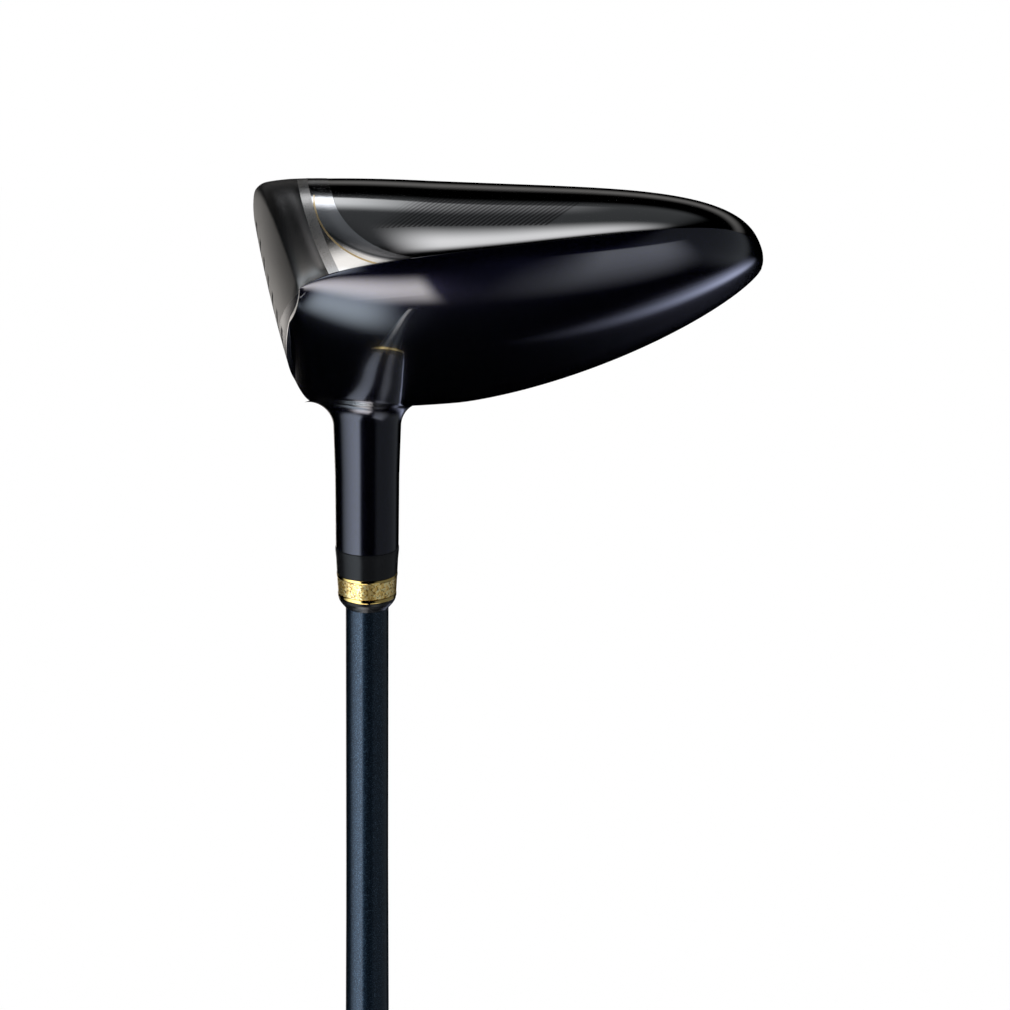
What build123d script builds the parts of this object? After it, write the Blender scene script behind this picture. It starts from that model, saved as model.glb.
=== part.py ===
"""Fairway wood: a bonded-hosel golf club with a hollow metal head, ferrule, tapered shaft and grip.

Part frame, in millimetres: the shaft's axis is Z. The origin is the middle of the grip's butt end and
+Z runs up the shaft to the head. +X points from the face to the back of the head, -Y to the toe side.

The head is drawn in a head frame of its own, as it is soled on level ground: x back, y to the toe, z up,
with its origin where the shaft's axis meets the ground. `placed` turns it into the part frame.
Sections of the head are planes parallel to the face, so a station x is measured along the ground and
the section leans back by the loft.
"""

import os
from math import cos, exp, pi, radians, sin, sqrt, tan

from build123d import *

# Club
CLUB_LENGTH = 1086.0  # along the shaft's axis, from the ground to the butt end
LIE = 60.0
LOFT = 13.5

# Head outline, all stations x measured on the ground
FACE_X = -22.25
TAIL_X = 71.1
TAIL_Y = 36.7
TAIL_Z = 14.1
TOE_SPAN = 44.0
TOE_WIDEST_X = 23.3
HEEL_SPAN = 63.1
HEEL_WIDEST_X = 10.7
EDGE_Z = 24.9  # height of the crown's edge behind the face
EDGE_RISE = 4.4  # how much higher that edge is at the face
CROWN_Z = 33.7
CROWN_TOP_X = 0.7
CROWN_DROP = 4.9
SOLE_FLAT_X = -15.6
FRONT_ROUND = 4.2
FACE_BULGE_R = 255.0
FACE_MID_Y = 28.3
FACE_MID_Z = 16.0

# Walls and trim
WALL = 1.2
FACE_WALL = 2.2
RIB_WALL = 1.2
CROWN_LIP = 0.15  # how far the crown wraps over the crease
TRIM_DEPTH = 0.6
SEAM_X = 59.0  # the seam is part of a circle, seen from the toe
SEAM_Z = -5.4
SEAM_R = 71.9
BAND_WIDTH = 1.85
PINSTRIPE_WIDTH = 0.32
SCORE_LINES = 7
SCORE_PITCH = 3.4
SCORE_WIDTH = 0.9
SCORE_DEPTH = 0.4
SCORE_LENGTH = 36.0
SCORE_MID_Y = 20.0

# Hosel and bore
HOSEL_R = 6.31
HOSEL_TOP = 62.85  # places along the shaft's axis are distances from the ground
HOSEL_TUBE_R = 6.2
HOSEL_BLEND_R = 5.0
HOSEL_FOOT = 10.0
BORE_R = 4.38
BORE_FOOT = 13.0

# Ferrule, from the hosel up the shaft
SLEEVE_LENGTH = 5.45
RING_UPPER = 0.8
GLITTER_LENGTH = 3.3
RING_LOWER = 1.0
CAP_LENGTH = 2.25
FERRULE_LIP_R = 6.38
FERRULE_BORE_R = 4.33

# Shaft
TIP_R = 4.30
BUTT_R = 7.6
TIP_WALL = 1.6
BUTT_WALL = 0.9
TAPER_START = 130.0
TAPER_END = 870.0
TIP_PLUG_LENGTH = 18.0

# Grip
GRIP_LENGTH = 267.0
GRIP_MOUTH_R = 9.2
GRIP_BODY_R = 13.2
GRIP_END_R = 15.0
GRIP_CAP_LENGTH = 4.0
TAPE = 0.3

LEAN = tan(radians(LOFT))
STATIONS = 12
SKIN_END = 0.94  # an inner skin stops before the tail, where the walls meet


def clamp(value):
    """value, held between 0 and 1."""
    return min(1.0, max(0.0, value))


def falloff(value, power, root):
    """1 at value 0, falling to 0 at value 1 along a superellipse."""
    return max(0.0, 1.0 - value**power) ** (1.0 / root)


def behind(x, start):
    """How far station x is from start to the tail, from 0 to 1."""
    return clamp((x - start) / (TAIL_X - start))


def ahead(x, start):
    """How far station x is from start forward to the face, from 0 to 1."""
    return clamp((start - x) / (start - FACE_X))


def front_inset(x):
    """How far the rounded front edge pulls a section in at station x."""
    depth = x - FACE_X
    if depth >= FRONT_ROUND:
        return 0.0
    return FRONT_ROUND - sqrt(FRONT_ROUND**2 - (FRONT_ROUND - max(depth, 0.0)) ** 2)


def toe_y(x):
    """The crown edge's distance to the toe."""
    reach = falloff(behind(x, TOE_WIDEST_X), 3.99, 2.6) - 0.25 * ahead(x, TOE_WIDEST_X) ** 3
    return TAIL_Y + TOE_SPAN * reach - 0.6 * front_inset(x)


def heel_y(x):
    """The crown edge's distance to the heel."""
    reach = falloff(behind(x, HEEL_WIDEST_X), 1.42, 1.11) - 0.1 * ahead(x, HEEL_WIDEST_X) ** 3
    return TAIL_Y - HEEL_SPAN * reach + 0.6 * front_inset(x)


def edge_z(x):
    """Height of the crown's edge, the crease where crown and sole meet."""
    rise = EDGE_RISE * exp((FACE_X - x) / 6.0)
    return TAIL_Z + (EDGE_Z - TAIL_Z) * (1.0 - behind(x, FACE_X) ** 1.29) + rise * (1.0 - behind(x, FACE_X))


def crown_z(x):
    """Height of the crown's ridge."""
    ridge = TAIL_Z + (CROWN_Z - TAIL_Z) * falloff(behind(x, CROWN_TOP_X), 1.89, 1.53)
    return ridge - CROWN_DROP * ahead(x, CROWN_TOP_X) ** 2 - front_inset(x)


def sole_z(x):
    """Height of the sole's lowest line."""
    camber = TAIL_Z * (1.0 - falloff(behind(x, SOLE_FLAT_X), 1.21, 2.95))
    return camber + front_inset(x)


def stations(last):
    """Stations from the face to the tail, closer together at both ends; last is the share covered."""
    front = [FACE_X + step for step in (0.0, 0.5, 1.6, 3.2)]
    length = TAIL_X - FACE_X - FRONT_ROUND
    rest = [FACE_X + FRONT_ROUND + length * sin(last * pi / 2 * k / STATIONS) for k in range(STATIONS)]
    return front + rest


def leaned(x, y, z):
    """A point of the section at station x."""
    return Vector(x + z * LEAN, y, z)


def arch_edge(points):
    """A spline through the points, whose knots are the same in every section."""
    return Edge.make_spline(points, parameters=[k / (len(points) - 1) for k in range(len(points))])


def section(x, inset, place=None):
    """The head's closed section at station x: a crown arch and a hull arch that meet at two creases.

    inset pulls the section in by a wall, and place puts it at another station."""
    place = x if place is None else place
    toe = toe_y(x) - inset
    heel = heel_y(x) + inset
    edge = edge_z(x)
    rise = max(crown_z(x) - inset - edge, 0.3)
    drop = max(edge - sole_z(x) - inset, 0.3)
    length = behind(x, FACE_X)
    heel_power = 2.24 + 0.96 * (1.0 - length) ** 2
    count = 8
    crown, hull = [], []
    for k in range(-count, count + 1):
        across = sin(pi / 2 * k / count)
        y = (toe + heel) / 2 + (toe - heel) / 2 * across
        crown.append(leaned(place, y, edge + rise * falloff(abs(across), 4.0 if k > 0 else heel_power, 1.22)))
        hull.append(leaned(place, y, edge - drop * falloff(abs(across), 4.5 - 1.5 * length, 1.56)))
    return Wire([arch_edge(crown), arch_edge(hull)])


def whole_head(inset=0.0):
    """The head as one solid, smaller all round by inset. A smaller one runs out through the face."""
    if inset == 0.0:
        wires = [section(x, 0.0) for x in stations(1.0)]
        return Solid.make_loft([*wires, Vertex(leaned(TAIL_X, TAIL_Y, TAIL_Z))])
    wires = [section(x, inset) for x in stations(SKIN_END)[3:]]
    return Solid.make_loft([section(FACE_X + 1.6, inset, place=FACE_X - 5.0), *wires])


def beyond_crease(height):
    """Everything from the crown's lip, just under the crease, to a height above or below the head."""
    wires = []
    for k in range(-1, STATIONS + 2):
        x = FACE_X + (TAIL_X - FACE_X) * k / STATIONS
        edge = edge_z(min(max(x, FACE_X), TAIL_X)) - CROWN_LIP
        base = [leaned(x, 120, edge), leaned(x, -60, edge)]
        wires.append(Wire.make_polygon([*base, leaned(x, -60, height), leaned(x, 120, height)]))
    return Solid.make_loft(wires)


def face_ball(wall):
    """The big sphere whose front is the bulged face, smaller by wall."""
    loft = radians(LOFT)
    middle = leaned(FACE_X, FACE_MID_Y, FACE_MID_Z)
    centre = middle + Vector(cos(loft), 0, -sin(loft)) * FACE_BULGE_R
    return Pos(*centre) * Sphere(FACE_BULGE_R - wall)


def seam_bar(radius):
    """A big round bar across the head, whose front side follows the seam between face cup and sole."""
    return Pos(SEAM_X, 0, SEAM_Z) * Rot(90, 0, 0) * Cylinder(radius, 400)


def toe_zone(outline):
    """A closed outline of edges in the section of x and z, as a bar that runs through the toe side."""
    near, far = 50.0, 200.0
    face = Face(outline)
    if face.normal_at().Y > 0:
        face = -face
    return Pos(0, far, 0) * extrude(face, amount=far - near)


def toe_bar(middle, radius):
    """A round bar through the toe side, parallel to y."""
    return Pos(middle.X, 120, middle.Z) * Rot(90, 0, 0) * Cylinder(radius, 140)


def placed(shape):
    """A shape from the head frame, in the part frame."""
    return Pos(0, 0, CLUB_LENGTH) * Rot(90 + LIE, 0, 0) * shape


def on_axis(distance):
    """The Z of a place on the shaft's axis, from its distance to the ground."""
    return CLUB_LENGTH - distance


def turned(profile):
    """A solid of revolution about the shaft's axis, from points (radius, distance from the ground)."""
    points = [(radius, on_axis(distance)) for radius, distance in profile]
    return revolve(Plane.XZ * Polygon(*points, align=None), axis=Axis.Z)


def tube(outer, inner, low, high):
    """A plain tube about the shaft's axis between two distances from the ground."""
    return turned([(inner, low), (outer, low), (outer, high), (inner, high)])


def shaft_radius(distance):
    """The shaft's outer radius: parallel tip, straight taper, parallel butt."""
    share = clamp((distance - TAPER_START) / (TAPER_END - TAPER_START))
    return TIP_R + (BUTT_R - TIP_R) * share


# Head pieces, in the head frame


def score_lines():
    """The face's grooves, as bars that cross it from heel to toe."""
    bars = []
    for k in range(SCORE_LINES):
        height = FACE_MID_Z + (k - (SCORE_LINES - 1) / 2) * SCORE_PITCH
        middle = leaned(FACE_X, SCORE_MID_Y, height)
        bars.append(Pos(*middle) * Rot(0, LOFT, 0) * Box(12.0, SCORE_LENGTH, SCORE_WIDTH))
    return Compound(bars) - face_ball(wall=SCORE_DEPTH)


def make_trim_zones():
    """Zones through the head's side that hold the silver band, the toe panel and the gold pinstripe."""
    behind_band = seam_bar(SEAM_R - BAND_WIDTH)
    band = seam_bar(SEAM_R) - behind_band

    def place(station, height):
        return Vector(station + height * LEAN, 0, height)

    low, mid, high = place(-7.9, 10.0), place(-4.9, 18.1), place(2.9, 22.6)
    foot, top, front_top, front_foot = place(-7.1, -6.0), place(6.0, 26.5), place(-16.0, 30.0), place(-16.0, -6.0)
    sweep = [
        Edge.make_line(front_foot, foot),
        Edge.make_line(foot, low),
        Edge.make_three_point_arc(low, mid, high),
        Edge.make_line(high, top),
        Edge.make_line(top, front_top),
        Edge.make_line(front_top, front_foot),
    ]
    panel = toe_zone(Wire(sweep)) & behind_band

    line = Edge.make_three_point_arc(place(-11.6, 12.6), place(-9.1, 19.6), place(-3.2, 23.6))
    middle = line.arc_center
    wide = toe_bar(middle, line.radius + PINSTRIPE_WIDTH / 2)
    narrow = toe_bar(middle, line.radius - PINSTRIPE_WIDTH / 2)
    quarter = Pos(middle.X - line.radius / 2, 120, middle.Z + line.radius / 2) * Box(line.radius, 200, line.radius)
    pinstripe = ((wide - narrow) & quarter & behind_band).solids().sort_by(SortBy.VOLUME)[-1]
    return band, panel, pinstripe


def head_parts():
    """Every piece of the head but the hosel, by name, and the head's whole outer form."""
    whole = whole_head()
    inside = whole_head(WALL)
    face = face_ball(wall=0.0)
    back_of_face = face_ball(wall=FACE_WALL)
    band_zone, panel_zone, pinstripe_zone = make_trim_zones()
    seam = seam_bar(SEAM_R - BAND_WIDTH / 2)

    under_crease = whole & beyond_crease(-30.0)
    skin = under_crease - whole_head(TRIM_DEPTH)
    band = skin & band_zone
    pinstripe = skin & pinstripe_zone
    panel = (skin & panel_zone) - pinstripe_zone

    crown = (whole & beyond_crease(60.0) & face) - inside
    hull = (under_crease - inside) & back_of_face
    plate = (whole & face) - back_of_face - crown
    cup = plate + (hull - seam) - band - score_lines()
    sole = (hull & seam) - band - pinstripe - panel

    hollow = inside & back_of_face
    rib = Pos(14, 0, 0) * Box(44, RIB_WALL, 18)
    parts = {
        "crown_shell": crown,
        "face_cup": cup,
        "sole_shell": sole,
        "seam_band": band,
        "toe_panel": panel,
        "pinstripe": pinstripe,
        "front_weight": hollow & (Pos(-11, 34, 0) * Box(6, 44, 12)),
        "rear_weight": hollow & (Pos(48, 32, 0) * Box(18, 36, 20)),
        "sole_rib_heel": hollow & (Pos(0, 20, 0) * rib),
        "sole_rib_toe": hollow & (Pos(0, 48, 0) * rib),
        "damping_pad": hollow & (Pos(12, 60, 0) * Box(16, 14, 12)),
    }
    return parts, whole


# Pieces turned about the shaft's axis, in the part frame


def make_hosel(head):
    """The neck: a tube that blends into the crown, and the bored stem that runs down into the head."""
    neck = turned([(0, HOSEL_TOP), (HOSEL_R, HOSEL_TOP), (HOSEL_R + 0.1, 48.0), (HOSEL_R + 0.3, 41.5),
                   (HOSEL_R + 1.0, 20.0), (0, 20.0)])
    joined = head + neck
    near = Box(16.0, 20.0, 27.0)
    near.position = (0, 0, on_axis(33.5))
    rim = [edge for edge in joined.edges() if near.is_inside(edge.center()) and edge.geom_type != GeomType.CIRCLE]
    flare = joined.fillet(HOSEL_BLEND_R, rim) - head
    stem = tube(HOSEL_TUBE_R, 0, HOSEL_FOOT, HOSEL_TOP)
    bore = tube(BORE_R, 0, BORE_FOOT, HOSEL_TOP + 1)
    return (flare + stem) - bore


def make_ferrule():
    """The ferrule's five pieces, one above the other on the shaft."""
    sleeve_end = HOSEL_TOP + SLEEVE_LENGTH
    upper_end = sleeve_end + RING_UPPER
    glitter_end = upper_end + GLITTER_LENGTH
    lower_end = glitter_end + RING_LOWER
    cap_end = lower_end + CAP_LENGTH
    bore = FERRULE_BORE_R

    sleeve = turned([
        (bore, HOSEL_TOP), (FERRULE_LIP_R - 0.15, HOSEL_TOP), (FERRULE_LIP_R, HOSEL_TOP + 0.2),
        (FERRULE_LIP_R, HOSEL_TOP + 0.8), (6.2, HOSEL_TOP + 2.8), (6.08, sleeve_end), (bore, sleeve_end),
    ])
    cap = turned([
        (bore, lower_end), (5.8, lower_end), (5.66, lower_end + 0.6), (5.3, lower_end + 1.2),
        (4.85, lower_end + 1.75), (4.42, cap_end), (bore, cap_end),
    ])
    return {
        "ferrule_sleeve": sleeve,
        "ferrule_ring_upper": ring(6.12, bore, sleeve_end, upper_end),
        "glitter_band": turned([(bore, upper_end), (6.04, upper_end), (5.84, glitter_end), (bore, glitter_end)]),
        "ferrule_ring_lower": ring(5.88, bore, glitter_end, lower_end),
        "ferrule_cap": cap,
    }


def ring(outer, inner, low, high):
    """A thin collar with rounded rims."""
    collar = tube(outer, inner, low, high)
    rims = collar.edges().filter_by(GeomType.CIRCLE).sort_by(lambda edge: edge.radius)[-2:]
    return fillet(rims, (high - low) * 0.3)


def make_shaft():
    """The hollow tapered shaft."""
    foot = BORE_FOOT + 1.0
    top = CLUB_LENGTH - GRIP_CAP_LENGTH
    return turned([
        (TIP_R - TIP_WALL, foot), (TIP_R - 0.4, foot), (TIP_R, foot + 0.4), (TIP_R, TAPER_START),
        (BUTT_R, TAPER_END), (BUTT_R, top), (BUTT_R - BUTT_WALL, top),
        (BUTT_R - BUTT_WALL, TAPER_END), (TIP_R - TIP_WALL, TAPER_START),
    ])


def make_grip():
    """The moulded grip: a tapered sleeve whose end swells, and the cap that closes it."""
    mouth = CLUB_LENGTH - GRIP_LENGTH
    top = CLUB_LENGTH - GRIP_CAP_LENGTH
    bore = shaft_radius(mouth) + TAPE, BUTT_R + TAPE
    sleeve = turned([
        (bore[0], mouth), (GRIP_MOUTH_R - 0.6, mouth), (GRIP_MOUTH_R, mouth + 1.2), (GRIP_MOUTH_R + 0.3, mouth + 20),
        (GRIP_BODY_R, top - 16), (GRIP_BODY_R + 0.4, top - 9), (GRIP_END_R - 0.3, top - 2), (GRIP_END_R, top),
        (bore[1], top), (bore[1], TAPER_END),
    ])
    cap = tube(GRIP_END_R, 0, top, CLUB_LENGTH)
    rim = cap.edges().filter_by(GeomType.CIRCLE).sort_by(Axis.Z)[0]
    return sleeve, fillet(rim, 2.0)


def make_tape():
    """Double-sided tape between shaft and grip."""
    mouth = CLUB_LENGTH - GRIP_LENGTH
    top = CLUB_LENGTH - GRIP_CAP_LENGTH
    low = shaft_radius(mouth)
    return turned([
        (low, mouth), (low + TAPE, mouth), (BUTT_R + TAPE, TAPER_END), (BUTT_R + TAPE, top),
        (BUTT_R, top), (BUTT_R, TAPER_END),
    ])


def main():
    """Builds every piece and writes it to its own file."""
    head, whole = head_parts()
    stem = tube(HOSEL_TUBE_R, 0, HOSEL_FOOT, HOSEL_TOP)
    parts = {name: placed(shape) - stem for name, shape in head.items()}
    parts["hosel"] = make_hosel(placed(whole))
    parts.update(make_ferrule())
    parts["shaft"] = make_shaft()
    parts["epoxy_bond"] = tube(BORE_R, TIP_R, BORE_FOOT + 1.4, HOSEL_TOP)
    parts["tip_plug"] = tube(TIP_R - TIP_WALL, 0, BORE_FOOT + 1.0, BORE_FOOT + 1.0 + TIP_PLUG_LENGTH)
    parts["grip_tape"] = make_tape()
    parts["grip"], parts["grip_cap"] = make_grip()

    os.makedirs("parts", exist_ok=True)
    for name, shape in parts.items():
        solids = shape.solids()
        export_step(solids[0] if len(solids) == 1 else Compound(solids), f"parts/{name}.step")
        print(name, len(solids), round(sum(solid.volume for solid in solids), 1))


if __name__ == "__main__":
    main()
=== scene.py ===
"""Looks for a fairway wood: paint, brushed metal, gold trim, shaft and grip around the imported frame."""
from math import cos, exp, pi, radians, sin, sqrt, tan

import bmesh
import bpy
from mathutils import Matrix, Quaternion, Vector


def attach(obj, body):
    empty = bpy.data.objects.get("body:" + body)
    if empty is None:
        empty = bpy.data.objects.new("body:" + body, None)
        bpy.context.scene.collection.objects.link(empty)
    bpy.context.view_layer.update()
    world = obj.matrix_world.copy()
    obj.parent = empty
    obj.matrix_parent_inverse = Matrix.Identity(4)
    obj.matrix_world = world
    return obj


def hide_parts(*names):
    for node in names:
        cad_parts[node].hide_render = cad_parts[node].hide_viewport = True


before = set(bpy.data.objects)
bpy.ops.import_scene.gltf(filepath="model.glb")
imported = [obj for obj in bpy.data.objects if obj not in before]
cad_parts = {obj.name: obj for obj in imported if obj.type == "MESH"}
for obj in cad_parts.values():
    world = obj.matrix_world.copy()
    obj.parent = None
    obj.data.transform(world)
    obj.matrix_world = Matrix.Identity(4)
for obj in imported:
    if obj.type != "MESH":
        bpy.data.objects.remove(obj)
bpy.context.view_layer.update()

MM = 0.001

# The head's outline, in millimetres: the same dimensions as in the CAD model
CLUB_LENGTH = 1086.0
LIE = 60.0
LEAN = tan(radians(13.5))
FACE_X = -22.25
TAIL_X = 71.1
TAIL_Y = 36.7
TAIL_Z = 14.1
TOE_SPAN = 44.0
TOE_WIDEST_X = 23.3
HEEL_SPAN = 63.1
HEEL_WIDEST_X = 10.7
EDGE_Z = 24.9
EDGE_RISE = 4.4
CROWN_Z = 33.7
CROWN_TOP_X = 0.7
CROWN_DROP = 4.9
SOLE_FLAT_X = -15.6
FRONT_ROUND = 4.2
FACE_BULGE_R = 255.0
FACE_MID_Z = 16.0
FACE_MID = (FACE_X + FACE_MID_Z * LEAN, 28.3, FACE_MID_Z)
BAND_BACK_R = 70.05
SEAM_MID = (59.0, -5.4)
SHELL_ROWS = 150
SHELL_COLUMNS = 130
SHELL_THICKNESS = 0.03  # as a share of the way to the middle of the section
CROWN_RIM = 2.4  # how much lower the crown's inner side lies at the face, in millimetres
TRIM_RELIEF = 0.0008  # how far the skirt lies under its trim, as such a share

# The grip, in millimetres: places along it are distances from the butt end
GRIP_PROFILE = [
    (267.0, 8.6), (265.8, 9.2), (247.0, 9.5), (20.0, 13.2), (13.0, 13.6), (6.0, 14.7), (4.0, 15.0),
]
GRIP_MOUTH_BORE = 7.68
GRIP_BUTT_BORE = 7.9
GRIP_AROUND = 160
GRIP_STEP = 0.55
GRIP_CUT_SPAN = (34.0, 246.0)
GRIP_ROW = 7.0
GRIP_CUTS = 10
GRIP_CUT_SLANT = 0.35
GRIP_CUT_DEPTH = 0.4

# The skirt's fine lines and the painted shade and highlight at the toe panel's bevel, in the head's x and
# z.
# A line is where x + LINE_SLANT * z is constant.
LINE_SLANT = 1.2
LINE_PITCH = 0.95
LINE_EDGE = (0.17, 0.26)  # where a line begins and where it is full, from the middle of a gap
LINE_SPAN = (19.1, 53.6)
LINE_TOP = 16.75
LINE_FOOT = (1.0, 5.0)
LINE_TOE = (0.045, 0.05)  # only the toe side has lines, from this far off the shaft's axis, in metres
BEVEL_SHADE_MID = (9.04, 1.28)
BEVEL_SHADE_R = 22.06
BEVEL_SHADE_BLUR = 3.0

# The face cup's colours follow z less a tilt times y: the edge of the crown's lacquer, which laps over
# the face, and the span of painted shade and light, from dark at the sole to light below the crown.
LAP_LEVEL = 22.1
LAP_EDGE = 0.2
LAP_TILT = 0.07
PAINTED_SHADE_SPAN = (-4.0, 16.0)
PAINTED_SHADE_TILT = 0.25
RIM_SOFTNESS = 0.0035  # in metres

# Shape


def clamp(value):
    """value, held between 0 and 1."""
    return min(1.0, max(0.0, value))


def falloff(value, power, root):
    """1 at value 0, falling to 0 at value 1 along a superellipse."""
    return max(0.0, 1.0 - value**power) ** (1.0 / root)


def behind(x, start):
    """How far station x is from start to the tail, from 0 to 1."""
    return clamp((x - start) / (TAIL_X - start))


def ahead(x, start):
    """How far station x is from start forward to the face, from 0 to 1."""
    return clamp((start - x) / (start - FACE_X))


def front_inset(x):
    """How far the rounded front edge pulls a section in at station x."""
    depth = x - FACE_X
    if depth >= FRONT_ROUND:
        return 0.0
    return FRONT_ROUND - sqrt(FRONT_ROUND**2 - (FRONT_ROUND - max(depth, 0.0)) ** 2)


def toe_y(x):
    """The crown edge's distance to the toe."""
    reach = falloff(behind(x, TOE_WIDEST_X), 3.99, 2.6) - 0.25 * ahead(x, TOE_WIDEST_X) ** 3
    return TAIL_Y + TOE_SPAN * reach - 0.6 * front_inset(x)


def heel_y(x):
    """The crown edge's distance to the heel."""
    reach = falloff(behind(x, HEEL_WIDEST_X), 1.42, 1.11) - 0.1 * ahead(x, HEEL_WIDEST_X) ** 3
    return TAIL_Y - HEEL_SPAN * reach + 0.6 * front_inset(x)


def edge_z(x):
    """Height of the crease where crown and skirt meet."""
    share = behind(x, FACE_X)
    rise = EDGE_RISE * exp((FACE_X - x) / 6.0)
    return TAIL_Z + (EDGE_Z - TAIL_Z) * (1.0 - share**1.29) + rise * (1.0 - share)


def crown_z(x):
    """Height of the crown's ridge."""
    ridge = TAIL_Z + (CROWN_Z - TAIL_Z) * falloff(behind(x, CROWN_TOP_X), 1.89, 1.53)
    return ridge - CROWN_DROP * ahead(x, CROWN_TOP_X) ** 2 - front_inset(x)


def sole_z(x):
    """Height of the sole's lowest line."""
    camber = TAIL_Z * (1.0 - falloff(behind(x, SOLE_FLAT_X), 1.21, 2.95))
    return camber + front_inset(x)


def crown_line(x, across):
    """Where the crown is at station x, from -1 at the heel to 1 at the toe: y and z."""
    power = 4.0 if across > 0 else 2.24 + 0.96 * (1.0 - behind(x, FACE_X)) ** 2
    height = max(crown_z(x) - edge_z(x), 0.3) * falloff(abs(across), power, 1.22)
    return middle_y(x) + (toe_y(x) - heel_y(x)) / 2 * across, edge_z(x) + height


def hull_line(x, across):
    """Where the sole and its skirt are at station x, as for the crown."""
    depth = max(edge_z(x) - sole_z(x), 0.3) * falloff(abs(across), 4.5 - 1.5 * behind(x, FACE_X), 1.56)
    return middle_y(x) + (toe_y(x) - heel_y(x)) / 2 * across, edge_z(x) - depth


def middle_y(x):
    """The middle of the section at station x, between toe and heel."""
    return (toe_y(x) + heel_y(x)) / 2


def before_face(x, y, z):
    """Whether a point lies in front of the bulged face."""
    loft_sine = LEAN / sqrt(1 + LEAN**2)
    loft_cosine = 1 / sqrt(1 + LEAN**2)
    centre = Vector(FACE_MID) + Vector((loft_cosine, 0, -loft_sine)) * FACE_BULGE_R
    return (Vector((x + z * LEAN, y, z)) - centre).length > FACE_BULGE_R


def before_band(x, y, z):
    """Whether a point lies in front of the silver band's rear edge."""
    return (Vector((x + z * LEAN, z)) - Vector(SEAM_MID)).length > BAND_BACK_R


def first_station(line, across, cut_off):
    """The station where a line of the surface leaves the part that is cut off, found by halving."""
    low, high = FACE_X, FACE_X + 30.0
    for _ in range(40):
        middle = (low + high) / 2
        if cut_off(middle, *line(middle, across)):
            low = middle
        else:
            high = middle
    return high


def head_point(x, y, z):
    """A point of the section at station x, in the part's frame and in metres."""
    turn = radians(90 + LIE)
    across = cos(turn) * y - sin(turn) * z
    along = CLUB_LENGTH + sin(turn) * y + cos(turn) * z
    return Vector((x + z * LEAN, across, along)) * MM


def grid_faces(bm, lines, closed=False):
    """Faces between neighbouring lines of vertices."""
    for first, second in zip(lines, lines[1:] + lines[:1] if closed else lines[1:]):
        for a, b, c, d in zip(first, first[1:], second[1:], second):
            bm.faces.new((a, b, c, d))


def finish_piece(name, bm, node):
    """Makes a piece of the mesh, which takes a CAD node's place."""
    bmesh.ops.remove_doubles(bm, verts=bm.verts, dist=0.002 * MM)
    bmesh.ops.recalc_face_normals(bm, faces=bm.faces)
    mesh = bpy.data.meshes.new(name)
    bm.to_mesh(mesh)
    bm.free()
    mesh.polygons.foreach_set("use_smooth", [True] * len(mesh.polygons))
    mesh.set_sharp_from_angle(angle=radians(38))
    piece = bpy.data.objects.new(name, mesh)
    bpy.context.collection.objects.link(piece)
    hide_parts(node)
    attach(piece, "root")
    return piece


def head_shell(name, node, line, cut_off, relief, rim):
    """A thin closed shell over one of the head's surfaces, from its front edge to the tail."""
    bm = bmesh.new()
    skins = []
    for depth, drop in ((relief, 0.0), (SHELL_THICKNESS, rim)):
        skin = []
        for column in range(SHELL_COLUMNS + 1):
            across = sin(pi / 2 * (2 * column / SHELL_COLUMNS - 1))
            start = first_station(line, across, cut_off)
            points = []
            for row in range(SHELL_ROWS + 1):
                x = start + (TAIL_X - start) * (1 - cos(pi * row / SHELL_ROWS)) / 2
                y, z = line(x, across)
                y += (middle_y(x) - y) * depth
                z += (edge_z(x) - z) * depth - drop * (1 - behind(x, FACE_X))
                points.append(bm.verts.new(head_point(x, y, z)))
            skin.append(points)
        grid_faces(bm, skin)
        skins.append(skin)
    outer, inner = skins
    for side in (0, -1):
        grid_faces(bm, [outer[side], inner[side]])
    grid_faces(bm, [[points[0] for points in outer], [points[0] for points in inner]])
    return finish_piece(name, bm, node)


def grip_radius(place):
    """The grip's outer radius at a distance from the butt end."""
    for (far, far_r), (near, near_r) in zip(GRIP_PROFILE, GRIP_PROFILE[1:]):
        if place >= near:
            return near_r + (far_r - near_r) * (place - near) / (far - near)
    return GRIP_PROFILE[-1][1]


def grip_cut(place, turn):
    """Depth of the slots at a place and a turn, from 0 to 1: staggered rows that lean both ways."""
    start, end = GRIP_CUT_SPAN
    if not start < place < end:
        return 0.0
    row = int(place // GRIP_ROW)
    offset = place % GRIP_ROW / GRIP_ROW - 0.5
    along = abs(offset) * 2
    slant = GRIP_CUT_SLANT * offset * (1 if row % 2 else -1)
    around = abs((turn * GRIP_CUTS + 0.5 * (row % 2) + slant) % 1.0 - 0.5) * 2
    return clamp((0.62 - along) / 0.22) * clamp((around - 0.56) / 0.2)


def make_grip_piece():
    """The moulded grip with its slots."""
    bm = bmesh.new()
    mouth, butt = GRIP_PROFILE[0][0], GRIP_PROFILE[-1][0]
    count = int((mouth - butt) / GRIP_STEP)
    places = {mouth - GRIP_STEP * step for step in range(count)} | {place for place, _ in GRIP_PROFILE}
    places = sorted(places)
    lines = []
    for column in range(GRIP_AROUND):
        turn = column / GRIP_AROUND
        side = Vector((cos(2 * pi * turn), sin(2 * pi * turn), 0))
        points = [bm.verts.new((side * GRIP_BUTT_BORE + Vector((0, 0, places[0]))) * MM)]
        for place in places:
            radius = grip_radius(place) - GRIP_CUT_DEPTH * grip_cut(place, turn)
            points.append(bm.verts.new((side * radius + Vector((0, 0, place))) * MM))
        points.append(bm.verts.new((side * GRIP_MOUTH_BORE + Vector((0, 0, places[-1]))) * MM))
        points.append(points[0])
        lines.append(points)
    grid_faces(bm, lines, closed=True)
    return finish_piece("grip_moulding", bm, "grip")


# Materials


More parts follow.
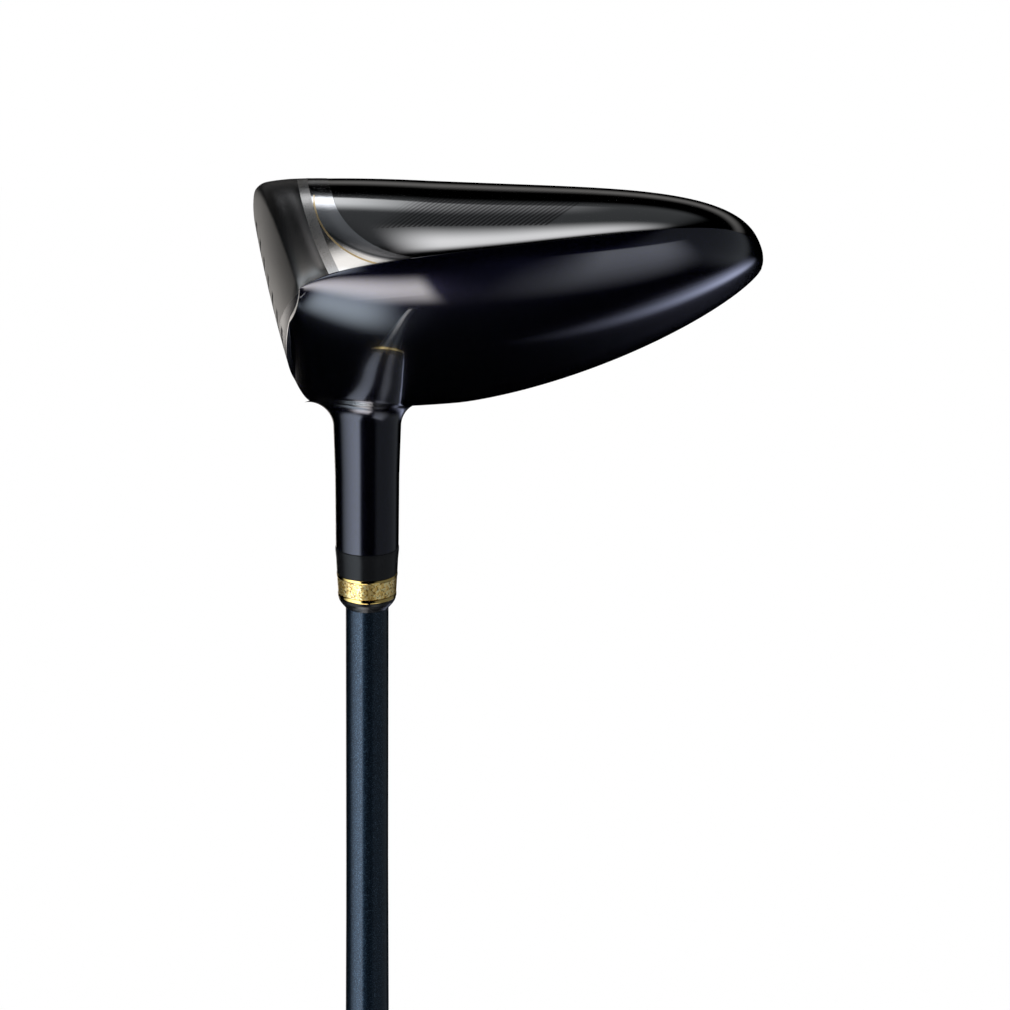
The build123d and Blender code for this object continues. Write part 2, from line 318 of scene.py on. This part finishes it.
def node_material(name):
    """A new material with its Principled shader and node tree."""
    material = bpy.data.materials.new(name)
    material.use_nodes = True
    tree = material.node_tree
    return material, tree, tree.nodes["Principled BSDF"]


def set_inputs(node, **values):
    """Sets a node's own sockets, named with underscores for spaces."""
    for name, value in values.items():
        node.inputs[name.replace("_", " ")].default_value = value


def dress(node, material):
    """Gives a CAD node its material."""
    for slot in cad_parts[node].material_slots:
        slot.material = material


def math_node(tree, operation, *values):
    """A math node; each value is a socket or a number."""
    node = tree.nodes.new("ShaderNodeMath")
    node.operation = operation
    for socket, value in zip(node.inputs, values):
        if isinstance(value, bpy.types.NodeSocket):
            tree.links.new(value, socket)
        else:
            socket.default_value = value
    return node.outputs["Value"]


def dot(tree, vector, axis):
    """The part of a vector socket along a fixed axis."""
    node = tree.nodes.new("ShaderNodeVectorMath")
    node.operation = "DOT_PRODUCT"
    tree.links.new(vector, node.inputs[0])
    node.inputs[1].default_value = axis
    return node.outputs["Value"]


def step_up(tree, value, start, end, low=0.0, high=1.0):
    """A smooth step of a value socket, from low at start to high at end."""
    node = tree.nodes.new("ShaderNodeMapRange")
    node.interpolation_type = "SMOOTHSTEP"
    tree.links.new(value, node.inputs["Value"])
    set_inputs(node, From_Min=start, From_Max=end, To_Min=low, To_Max=high)
    return node.outputs["Result"]


def ramp(tree, value, stops):
    """A colour ramp over a value socket."""
    node = tree.nodes.new("ShaderNodeValToRGB")
    bands = node.color_ramp.elements
    while len(bands) < len(stops):
        bands.new(0.5)
    for band, (place, color) in zip(bands, stops):
        band.position = place
        band.color = (*color, 1)
    tree.links.new(value, node.inputs["Fac"])
    return node.outputs["Color"]


def object_place(tree):
    """The point in the part's frame, in metres."""
    return tree.nodes.new("ShaderNodeTexCoord").outputs["Object"]


def scaled(tree, vector, scale):
    """A vector socket times three numbers."""
    node = tree.nodes.new("ShaderNodeVectorMath")
    node.operation = "MULTIPLY"
    tree.links.new(vector, node.inputs[0])
    node.inputs[1].default_value = scale
    return node.outputs["Vector"]


def noise(tree, vector, scale, detail=2.0, roughness=0.5):
    """Noise over a vector socket."""
    node = tree.nodes.new("ShaderNodeTexNoise")
    tree.links.new(vector, node.inputs["Vector"])
    set_inputs(node, Scale=scale, Detail=detail, Roughness=roughness)
    return node.outputs["Fac"]


def bump(tree, shader, height, distance):
    """Bumps the shader's normal by a height socket; distance is in metres."""
    node = tree.nodes.new("ShaderNodeBump")
    set_inputs(node, Distance=distance, Strength=1.0)
    tree.links.new(height, node.inputs["Height"])
    tree.links.new(node.outputs["Normal"], shader.inputs["Normal"])


def head_height(tree, tilt=0.0):
    """The head's own z less tilt times its y, in millimetres, from the point in the part's frame."""
    lie = radians(90 + LIE)
    up = (0, -sin(lie) - tilt * cos(lie), cos(lie) - tilt * sin(lie))
    ground = CLUB_LENGTH * MM * (cos(lie) - tilt * sin(lie))
    above = math_node(tree, "SUBTRACT", dot(tree, object_place(tree), up), ground)
    return math_node(tree, "DIVIDE", above, MM)


def head_frame(tree):
    """The head's own x and z, in millimetres."""
    x = math_node(tree, "DIVIDE", dot(tree, object_place(tree), (1, 0, 0)), MM)
    return x, head_height(tree)


def navy_paint(name, coat_rough):
    """Near-black navy lacquer with violet flakes under a clear coat."""
    material, tree, shader = node_material(name)
    set_inputs(shader, Metallic=0.9, Roughness=0.20)
    set_inputs(shader, Coat_Weight=1.0, Coat_Roughness=coat_rough, Coat_IOR=1.55)
    flakes = noise(tree, object_place(tree), 6500.0, 1.0)
    color = ramp(tree, flakes, [(0.4, (0.001, 0.001, 0.005)), (0.65, (0.007, 0.007, 0.028))])
    tree.links.new(color, shader.inputs["Base Color"])
    return material


def sole_paint():
    """Polished black plating with fine slanted lines along the toe side of the skirt."""
    material, tree, shader = node_material("sole_black")
    set_inputs(shader, Metallic=1.0, Coat_Weight=0.5, Coat_Roughness=0.02)
    x, z = head_frame(tree)
    place = math_node(tree, "ADD", x, math_node(tree, "MULTIPLY", z, LINE_SLANT))
    wave = math_node(tree, "PINGPONG", place, LINE_PITCH / 2)
    line = step_up(tree, wave, *LINE_EDGE)
    start, end = LINE_SPAN
    out = dot(tree, object_place(tree), (0, -1, 0))
    fades = (
        step_up(tree, place, start, start + 7.0),
        step_up(tree, place, end, end - 1.0),
        step_up(tree, z, LINE_TOP, LINE_TOP - 0.15),
        step_up(tree, z, *LINE_FOOT),
        step_up(tree, out, *LINE_TOE),
    )
    for fade in fades:
        line = math_node(tree, "MULTIPLY", line, fade)
    color = ramp(tree, line, [(0.0, (0.085, 0.087, 0.09)), (1.0, (0.012, 0.012, 0.013))])
    tree.links.new(color, shader.inputs["Base Color"])
    haze = noise(tree, object_place(tree), 900.0, 3.0)
    tree.links.new(step_up(tree, haze, 0.2, 0.8, 0.07, 0.10), shader.inputs["Roughness"])
    return material


def grained(name, dark, light, rough, scale):
    """Satin metal with a fine grain between two colours."""
    material, tree, shader = node_material(name)
    set_inputs(shader, Metallic=1.0)
    grain = noise(tree, object_place(tree), scale, 3.0, 0.7)
    tree.links.new(ramp(tree, grain, [(0.3, dark), (0.7, light)]), shader.inputs["Base Color"])
    tree.links.new(step_up(tree, grain, 0.25, 0.75, rough - 0.05, rough + 0.05), shader.inputs["Roughness"])
    bump(tree, shader, grain, 0.000004)
    return material


def cup_metal():
    """Dark satin metal with softened rims and painted shade, dark at the sole and light below the crown;
    the crown's lacquer laps over the top of the face.
    """
    material, tree, shader = node_material("cup_metal")
    set_inputs(shader, Metallic=1.0, Coat_Roughness=0.1)
    lap = step_up(tree, head_height(tree, LAP_TILT), LAP_LEVEL, LAP_LEVEL + LAP_EDGE)
    grain = noise(tree, object_place(tree), 7000.0, 2.0)
    # painted shade and light: the metal is darker towards the sole and lighter below the crown
    painted_shade = step_up(tree, head_height(tree, PAINTED_SHADE_TILT), *PAINTED_SHADE_SPAN, 0.0, 0.75)
    grain_and_painted_shade = math_node(tree, "ADD", painted_shade, math_node(tree, "MULTIPLY", grain, 0.1))
    stops = [
        (0.05, (0.05, 0.05, 0.052)),
        (0.3, (0.07, 0.069, 0.068)),
        (0.8, (0.24, 0.228, 0.216)),
        (0.95, (0.008, 0.008, 0.025)),
    ]
    tree.links.new(ramp(tree, math_node(tree, "MAXIMUM", grain_and_painted_shade, lap), stops), shader.inputs["Base Color"])
    tree.links.new(math_node(tree, "MULTIPLY", lap, 0.35), shader.inputs["Coat Weight"])
    tree.links.new(step_up(tree, grain, 0.2, 0.8, 0.30, 0.40), shader.inputs["Roughness"])
    rim = tree.nodes.new("ShaderNodeBevel")
    rim.samples = 12
    set_inputs(rim, Radius=RIM_SOFTNESS)
    tree.links.new(rim.outputs["Normal"], shader.inputs["Normal"])
    return material


def gold():
    """Polished gold plate."""
    material, tree, shader = node_material("gold_plate")
    set_inputs(shader, Metallic=1.0)
    smear = noise(tree, object_place(tree), 5000.0, 2.0)
    tree.links.new(ramp(tree, smear, [(0.3, (0.80, 0.56, 0.17)), (0.7, (0.90, 0.66, 0.25))]),
                   shader.inputs["Base Color"])
    tree.links.new(step_up(tree, smear, 0.2, 0.8, 0.08, 0.16), shader.inputs["Roughness"])
    return material


def glitter():
    """Coarse gold flakes, each tilted its own way, under clear lacquer."""
    material, tree, shader = node_material("gold_glitter")
    set_inputs(shader, Metallic=0.9, Roughness=0.3, Coat_Weight=0.7, Coat_Roughness=0.08)
    cells = tree.nodes.new("ShaderNodeTexVoronoi")
    set_inputs(cells, Scale=3300.0)
    tree.links.new(object_place(tree), cells.inputs["Vector"])
    split = tree.nodes.new("ShaderNodeSeparateColor")
    tree.links.new(cells.outputs["Color"], split.inputs["Color"])
    stops = [
        (0.0, (0.22, 0.10, 0.02)),
        (0.22, (0.70, 0.42, 0.09)),
        (0.6, (1.0, 0.74, 0.26)),
        (1.0, (1.0, 0.9, 0.5)),
    ]
    tree.links.new(ramp(tree, split.outputs["Red"], stops), shader.inputs["Base Color"])
    bump(tree, shader, split.outputs["Green"], 0.00012)
    return material


def plastic(name, color, rough, shine=0.5):
    """Moulded plastic with a faint uneven sheen."""
    material, tree, shader = node_material(name)
    set_inputs(shader, Base_Color=(*color, 1), Specular_IOR_Level=shine)
    cloud = noise(tree, object_place(tree), 1800.0, 3.0)
    tree.links.new(step_up(tree, cloud, 0.2, 0.8, rough - 0.04, rough + 0.04), shader.inputs["Roughness"])
    bump(tree, shader, cloud, 0.000006)
    return material


def shaft_paint():
    """Dark blue lacquer with fine silver-blue flakes."""
    material, tree, shader = node_material("shaft_paint")
    set_inputs(shader, Metallic=0.9, Roughness=0.36, Coat_Weight=0.5, Coat_Roughness=0.12)
    flakes = noise(tree, object_place(tree), 5000.0, 1.0)
    stops = [(0.42, (0.006, 0.014, 0.026)), (0.6, (0.018, 0.036, 0.06)), (0.75, (0.05, 0.085, 0.13))]
    tree.links.new(ramp(tree, flakes, stops), shader.inputs["Base Color"])
    return material


def grip_rubber():
    """Black rubber with a dusty, finely pebbled skin."""
    material, tree, shader = node_material("grip_rubber")
    dust = noise(tree, object_place(tree), 60.0, 4.0)
    tree.links.new(ramp(tree, dust, [(0.3, (0.012, 0.012, 0.013)), (0.8, (0.024, 0.024, 0.026))]),
                   shader.inputs["Base Color"])
    pebble = noise(tree, object_place(tree), 2600.0, 2.0)
    tree.links.new(step_up(tree, pebble, 0.3, 0.7, 0.55, 0.75), shader.inputs["Roughness"])
    bump(tree, shader, pebble, 0.00004)
    return material


def toe_silver():
    """The toe panel: satin silver whose painted shade and highlight turn it from light to dark at a bevel
    beside the gold line.
    """
    material, tree, shader = node_material("toe_silver")
    set_inputs(shader, Metallic=1.0)
    x, z = head_frame(tree)
    aside = math_node(tree, "SUBTRACT", x, BEVEL_SHADE_MID[0])
    above = math_node(tree, "SUBTRACT", z, BEVEL_SHADE_MID[1])
    squares = [math_node(tree, "MULTIPLY", leg, leg) for leg in (aside, above)]
    reach = math_node(tree, "SQRT", math_node(tree, "ADD", *squares))
    # painted shade and highlight: a dark line along the bevel, mid grey inside it and light silver outside
    # it
    place = step_up(tree, reach, BEVEL_SHADE_R - BEVEL_SHADE_BLUR, BEVEL_SHADE_R + BEVEL_SHADE_BLUR)
    grain = noise(tree, scaled(tree, object_place(tree), (0.08, 1, 1)), 2600.0, 3.0)
    stops = [
        (0.0, (0.30, 0.31, 0.33)),
        (0.36, (0.22, 0.23, 0.25)),
        (0.46, (0.05, 0.055, 0.06)),
        (0.52, (0.28, 0.29, 0.31)),
        (0.6, (0.6, 0.61, 0.62)),
    ]
    tree.links.new(ramp(tree, place, stops), shader.inputs["Base Color"])
    tree.links.new(step_up(tree, grain, 0.2, 0.8, 0.12, 0.16), shader.inputs["Roughness"])
    bump(tree, shader, grain, 0.000003)
    return material


def make_materials(crown, sole, grip):
    """Dresses every piece."""
    paint, plating = navy_paint("crown_paint", 0.012), sole_paint()
    cup = cup_metal()
    silver = grained("seam_silver", (0.27, 0.27, 0.275), (0.33, 0.33, 0.33), 0.3, 7000.0)
    alloy = grained("weight_alloy", (0.15, 0.15, 0.15), (0.24, 0.24, 0.24), 0.5, 900.0)
    stripe = grained("pinstripe_gold", (0.40, 0.31, 0.17), (0.50, 0.39, 0.22), 0.3, 7000.0)
    bright, flakes = gold(), glitter()
    black = plastic("ferrule_black", (0.006, 0.0065, 0.0075), 0.22, 0.2)
    rubber = grip_rubber()
    looks = {
        "crown_shell": paint,
        "hosel": navy_paint("hosel_paint", 0.15),
        "sole_shell": plating,
        "face_cup": cup,
        "seam_band": silver,
        "toe_panel": toe_silver(),
        "pinstripe": stripe,
        "ferrule_ring_upper": bright,
        "ferrule_ring_lower": bright,
        "glitter_band": flakes,
        "ferrule_sleeve": black,
        "ferrule_cap": black,
        "shaft": shaft_paint(),
        "front_weight": alloy,
        "rear_weight": alloy,
        "sole_rib_heel": cup,
        "sole_rib_toe": cup,
        "damping_pad": plastic("soft_polymer", (0.08, 0.08, 0.08), 0.6),
        "tip_plug": bright,
        "epoxy_bond": plastic("epoxy", (0.5, 0.45, 0.3), 0.3),
        "grip_tape": plastic("tape", (0.7, 0.62, 0.45), 0.8),
        "grip": rubber,
        "grip_cap": rubber,
    }
    for node, material in looks.items():
        dress(node, material)
    for piece, material in ((crown, paint), (sole, plating), (grip, rubber)):
        piece.data.materials.append(material)


# Camera and studio, in metres and degrees; the lens and the sensor's width are in millimetres

LENS = 180.0
SENSOR = 36.0
FLOOR_SIZE = 8.0
CAMERA_PLACE = Vector((0.0083, -0.9531, 1.3575))
CAMERA_AIM = Vector((0.0273, -0.0095, 1.0350))
CAMERA_ROLL = 0.53
STEEP = 0.55  # a lamp panel whose direction rises or falls more than this isn't upright


def make_camera():
    """A long lens on the toe side, which looks down on the upturned head."""
    data = bpy.data.cameras.new("camera")
    data.lens = LENS
    data.sensor_width = SENSOR
    camera = bpy.data.objects.new("camera", data)
    bpy.context.collection.objects.link(camera)
    camera.location = CAMERA_PLACE
    turn = (CAMERA_AIM - CAMERA_PLACE).to_track_quat("-Z", "Y")
    camera.rotation_mode = "QUATERNION"
    camera.rotation_quaternion = turn @ Quaternion((0, 0, 1), radians(CAMERA_ROLL))
    bpy.context.scene.camera = camera


# Studio. The lamps are panels in the sky, given by direction: x to the right, y away from the camera, z up.
# Each row: middle direction; turn in degrees; half width and half height as tangents; softness of the
# left, right, lower and upper edge; strength; colour. The width of an upright panel runs from left to
# right as seen from behind the panel. The width of a panel overhead or below runs along x, and its upper
# edge is the one away from the camera.
LAMPS = [
    # left: a tall panel
    ((-0.75, -0.62, -0.20), 0, (0.45, 0.8), (1.8, 0.20, 0.5, 0.5), 3.4, (0.82, 0.91, 1.0)),
    # below left: the glow along the front of the crown, and a dimmer blue one behind it
    ((-0.20, -0.24, -0.95), -8, (0.225, 0.06), (0.40, 0.05, 0.60, 0.56), 15.0, (1.0, 0.96, 0.93)),
    ((-0.22, 0.10, -0.97), 0, (0.13, 0.26), (0.24, 0.16, 0.40, 0.50), 2.6, (0.78, 0.90, 1.0)),
    # below right: the streak under the crease, fading towards the rear
    ((0.40, -0.45, -0.80), 20, (0.22, 0.24), (0.12, 0.40, 0.05, 0.9), 1.7, (0.90, 0.95, 1.0)),
    # below and behind: the glow at the rear of the crown
    ((0.37, 0.65, -0.66), 22, (0.16, 0.10), (0.34, 0.30, 0.40, 0.14), 1.35, (0.66, 0.72, 1.0)),
    # right: a wide dim panel
    ((0.98, -0.17, -0.30), 0, (1.0, 0.8), (0.5, 0.6, 0.5, 0.5), 0.18, (0.85, 0.93, 1.0)),
    # above: the bands of light on the skirt
    ((-0.02, -0.25, 0.97), 0, (0.26, 0.22), (0.30, 0.85, 0.25, 0.50), 6.4, (1.0, 0.98, 0.97)),
    ((0.0, 0.25, 0.97), 0, (0.6, 0.62), (0.5, 0.5, 0.3, 0.30), 0.3, (0.93, 0.97, 1.0)),
    ((-0.25, 0.58, 0.77), 0, (0.14, 0.12), (0.10, 0.40, 0.22, 0.03), 4.2, (1.0, 1.0, 1.0)),
    # left above: the light on the cup and the silver
    ((-0.68, -0.45, 0.58), 0, (0.30, 0.25), (0.3, 0.3, 0.3, 0.3), 1.5, (1.0, 0.95, 0.90)),
    # behind: a low strip that draws the sole's edge, and a warm glow on the face
    ((0.0, 1.0, 0.2), 0, (1.4, 0.10), (0.5, 0.5, 0.2, 0.2), 0.25, (1.0, 0.97, 0.94)),
    ((-0.22, 0.91, -0.34), 0, (0.08, 0.10), (0.2, 0.25, 0.2, 0.2), 1.6, (1.0, 0.95, 0.90)),
]


def lamp_panel(tree, direction, middle, turn, half, soft, strength, color):
    """The light that one panel sends back along a direction socket."""
    forward = Vector(middle).normalized()
    upright = abs(forward.z) < STEEP
    up = Vector((0, 0, 1)) if upright else Vector((0, 1, 0))
    up = (up - forward * up.dot(forward)).normalized()
    side = up.cross(forward)
    if not upright and side.x < 0:
        side = -side
    cosine, sine = cos(radians(turn)), sin(radians(turn))
    side, up = side * cosine + up * sine, up * cosine - side * sine
    depth = math_node(tree, "MAXIMUM", dot(tree, direction, forward), 0.001)
    across = math_node(tree, "DIVIDE", dot(tree, direction, side), depth)
    along = math_node(tree, "DIVIDE", dot(tree, direction, up), depth)
    left = step_up(tree, across, -half[0] - soft[0] / 2, -half[0] + soft[0] / 2)
    right = step_up(tree, across, half[0] + soft[1] / 2, half[0] - soft[1] / 2)
    low = step_up(tree, along, -half[1] - soft[2] / 2, -half[1] + soft[2] / 2)
    high = step_up(tree, along, half[1] + soft[3] / 2, half[1] - soft[3] / 2)
    mask = math_node(tree, "MULTIPLY", math_node(tree, "MULTIPLY", left, right),
                     math_node(tree, "MULTIPLY", low, high))
    glow = tree.nodes.new("ShaderNodeVectorMath")
    glow.operation = "SCALE"
    glow.inputs[0].default_value = Vector(color) * strength
    tree.links.new(mask, glow.inputs["Scale"])
    return glow.outputs["Vector"]


def make_sky(tree):
    """The sum of all the lamp panels, over the direction looked in."""
    direction = tree.nodes.new("ShaderNodeTexCoord").outputs["Generated"]
    total, *others = [lamp_panel(tree, direction, *lamp) for lamp in LAMPS]
    for glow in others:
        add = tree.nodes.new("ShaderNodeVectorMath")
        add.operation = "ADD"
        tree.links.new(total, add.inputs[0])
        tree.links.new(glow, add.inputs[1])
        total = add.outputs["Vector"]
    return total


def make_studio():
    """A white room for the eye and for matt surfaces, and a dark one with lamp panels for glossy ones."""
    world = bpy.data.worlds.new("studio")
    bpy.context.scene.world = world
    world.use_nodes = True
    world.cycles.sampling_method = "NONE"
    tree = world.node_tree
    lamps = tree.nodes.new("ShaderNodeBackground")
    tree.links.new(make_sky(tree), lamps.inputs["Color"])
    room = tree.nodes["Background"]
    set_inputs(room, Color=(1, 1, 1, 1), Strength=1.0)
    path = tree.nodes.new("ShaderNodeLightPath")
    mix = tree.nodes.new("ShaderNodeMixShader")
    tree.links.new(path.outputs["Is Glossy Ray"], mix.inputs["Fac"])
    tree.links.new(room.outputs["Background"], mix.inputs[1])
    tree.links.new(lamps.outputs["Background"], mix.inputs[2])
    tree.links.new(mix.outputs["Shader"], tree.nodes["World Output"].inputs["Surface"])
    bpy.context.scene.view_settings.view_transform = "Standard"


def make_floor():
    """A white floor, which glossy surfaces don't reflect."""
    bpy.ops.mesh.primitive_plane_add(size=FLOOR_SIZE)
    floor = bpy.context.object
    floor.name = "floor"
    floor.visible_glossy = False
    material, _, shader = node_material("floor")
    set_inputs(shader, Base_Color=(1.0, 1.0, 1.0, 1), Roughness=1.0, Specular_IOR_Level=0.0)
    floor.data.materials.append(material)


crown = head_shell("crown", "crown_shell", crown_line, before_face, 0.0, CROWN_RIM)
sole = head_shell("sole", "sole_shell", hull_line, before_band, TRIM_RELIEF, 0.0)
make_materials(crown, sole, make_grip_piece())
make_camera()
make_studio()
make_floor()
